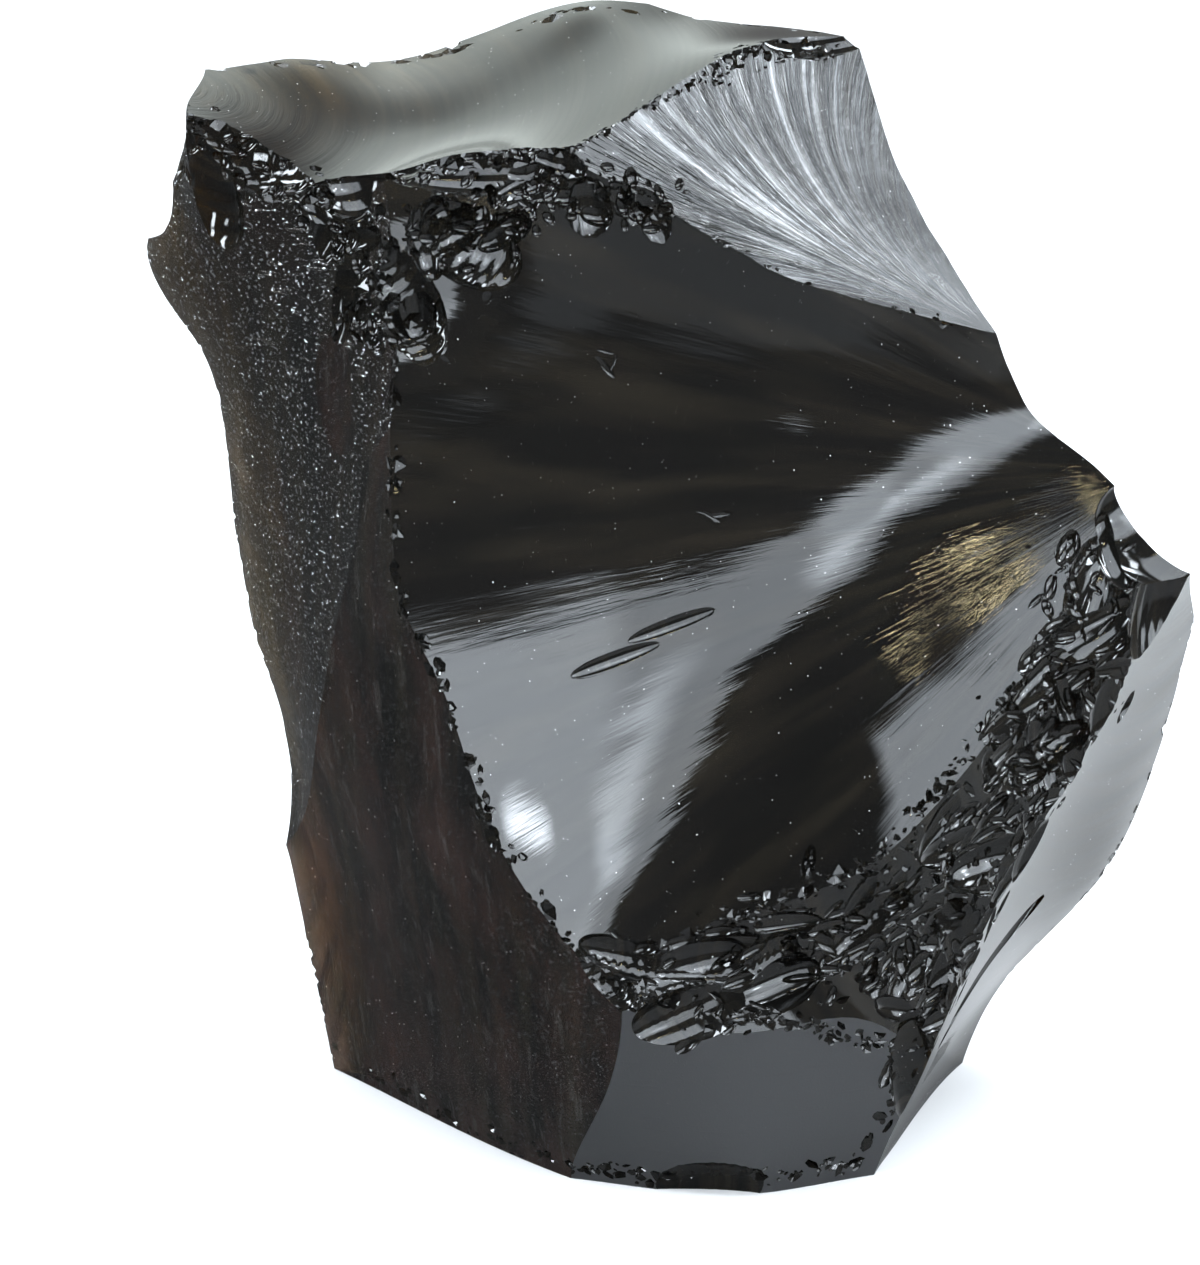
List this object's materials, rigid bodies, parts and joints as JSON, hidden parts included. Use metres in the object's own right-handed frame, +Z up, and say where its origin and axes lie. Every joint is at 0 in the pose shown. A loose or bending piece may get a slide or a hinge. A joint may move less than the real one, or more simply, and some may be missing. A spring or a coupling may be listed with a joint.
{
  "type": "obsidian chunk",
  "caption": "Broken chunk of black volcanic glass with a deep shell-shaped hollow, sharp ridges and a crushed band, standing on a flat break.",
  "frame": {"origin": "middle of the bounding box, on the flat base that the chunk stands on", "axes": "+Z up from the base, +X to the right seen from the side with the large hollow, +Y to the back"},
  "size_m": [0.1544, 0.0926, 0.1596],
  "materials": {
    "obsidian": "glossy black"
  },
  "bodies": {
    "root": {"obsidian_chunk": "obsidian"}
  },
  "joints": []
}
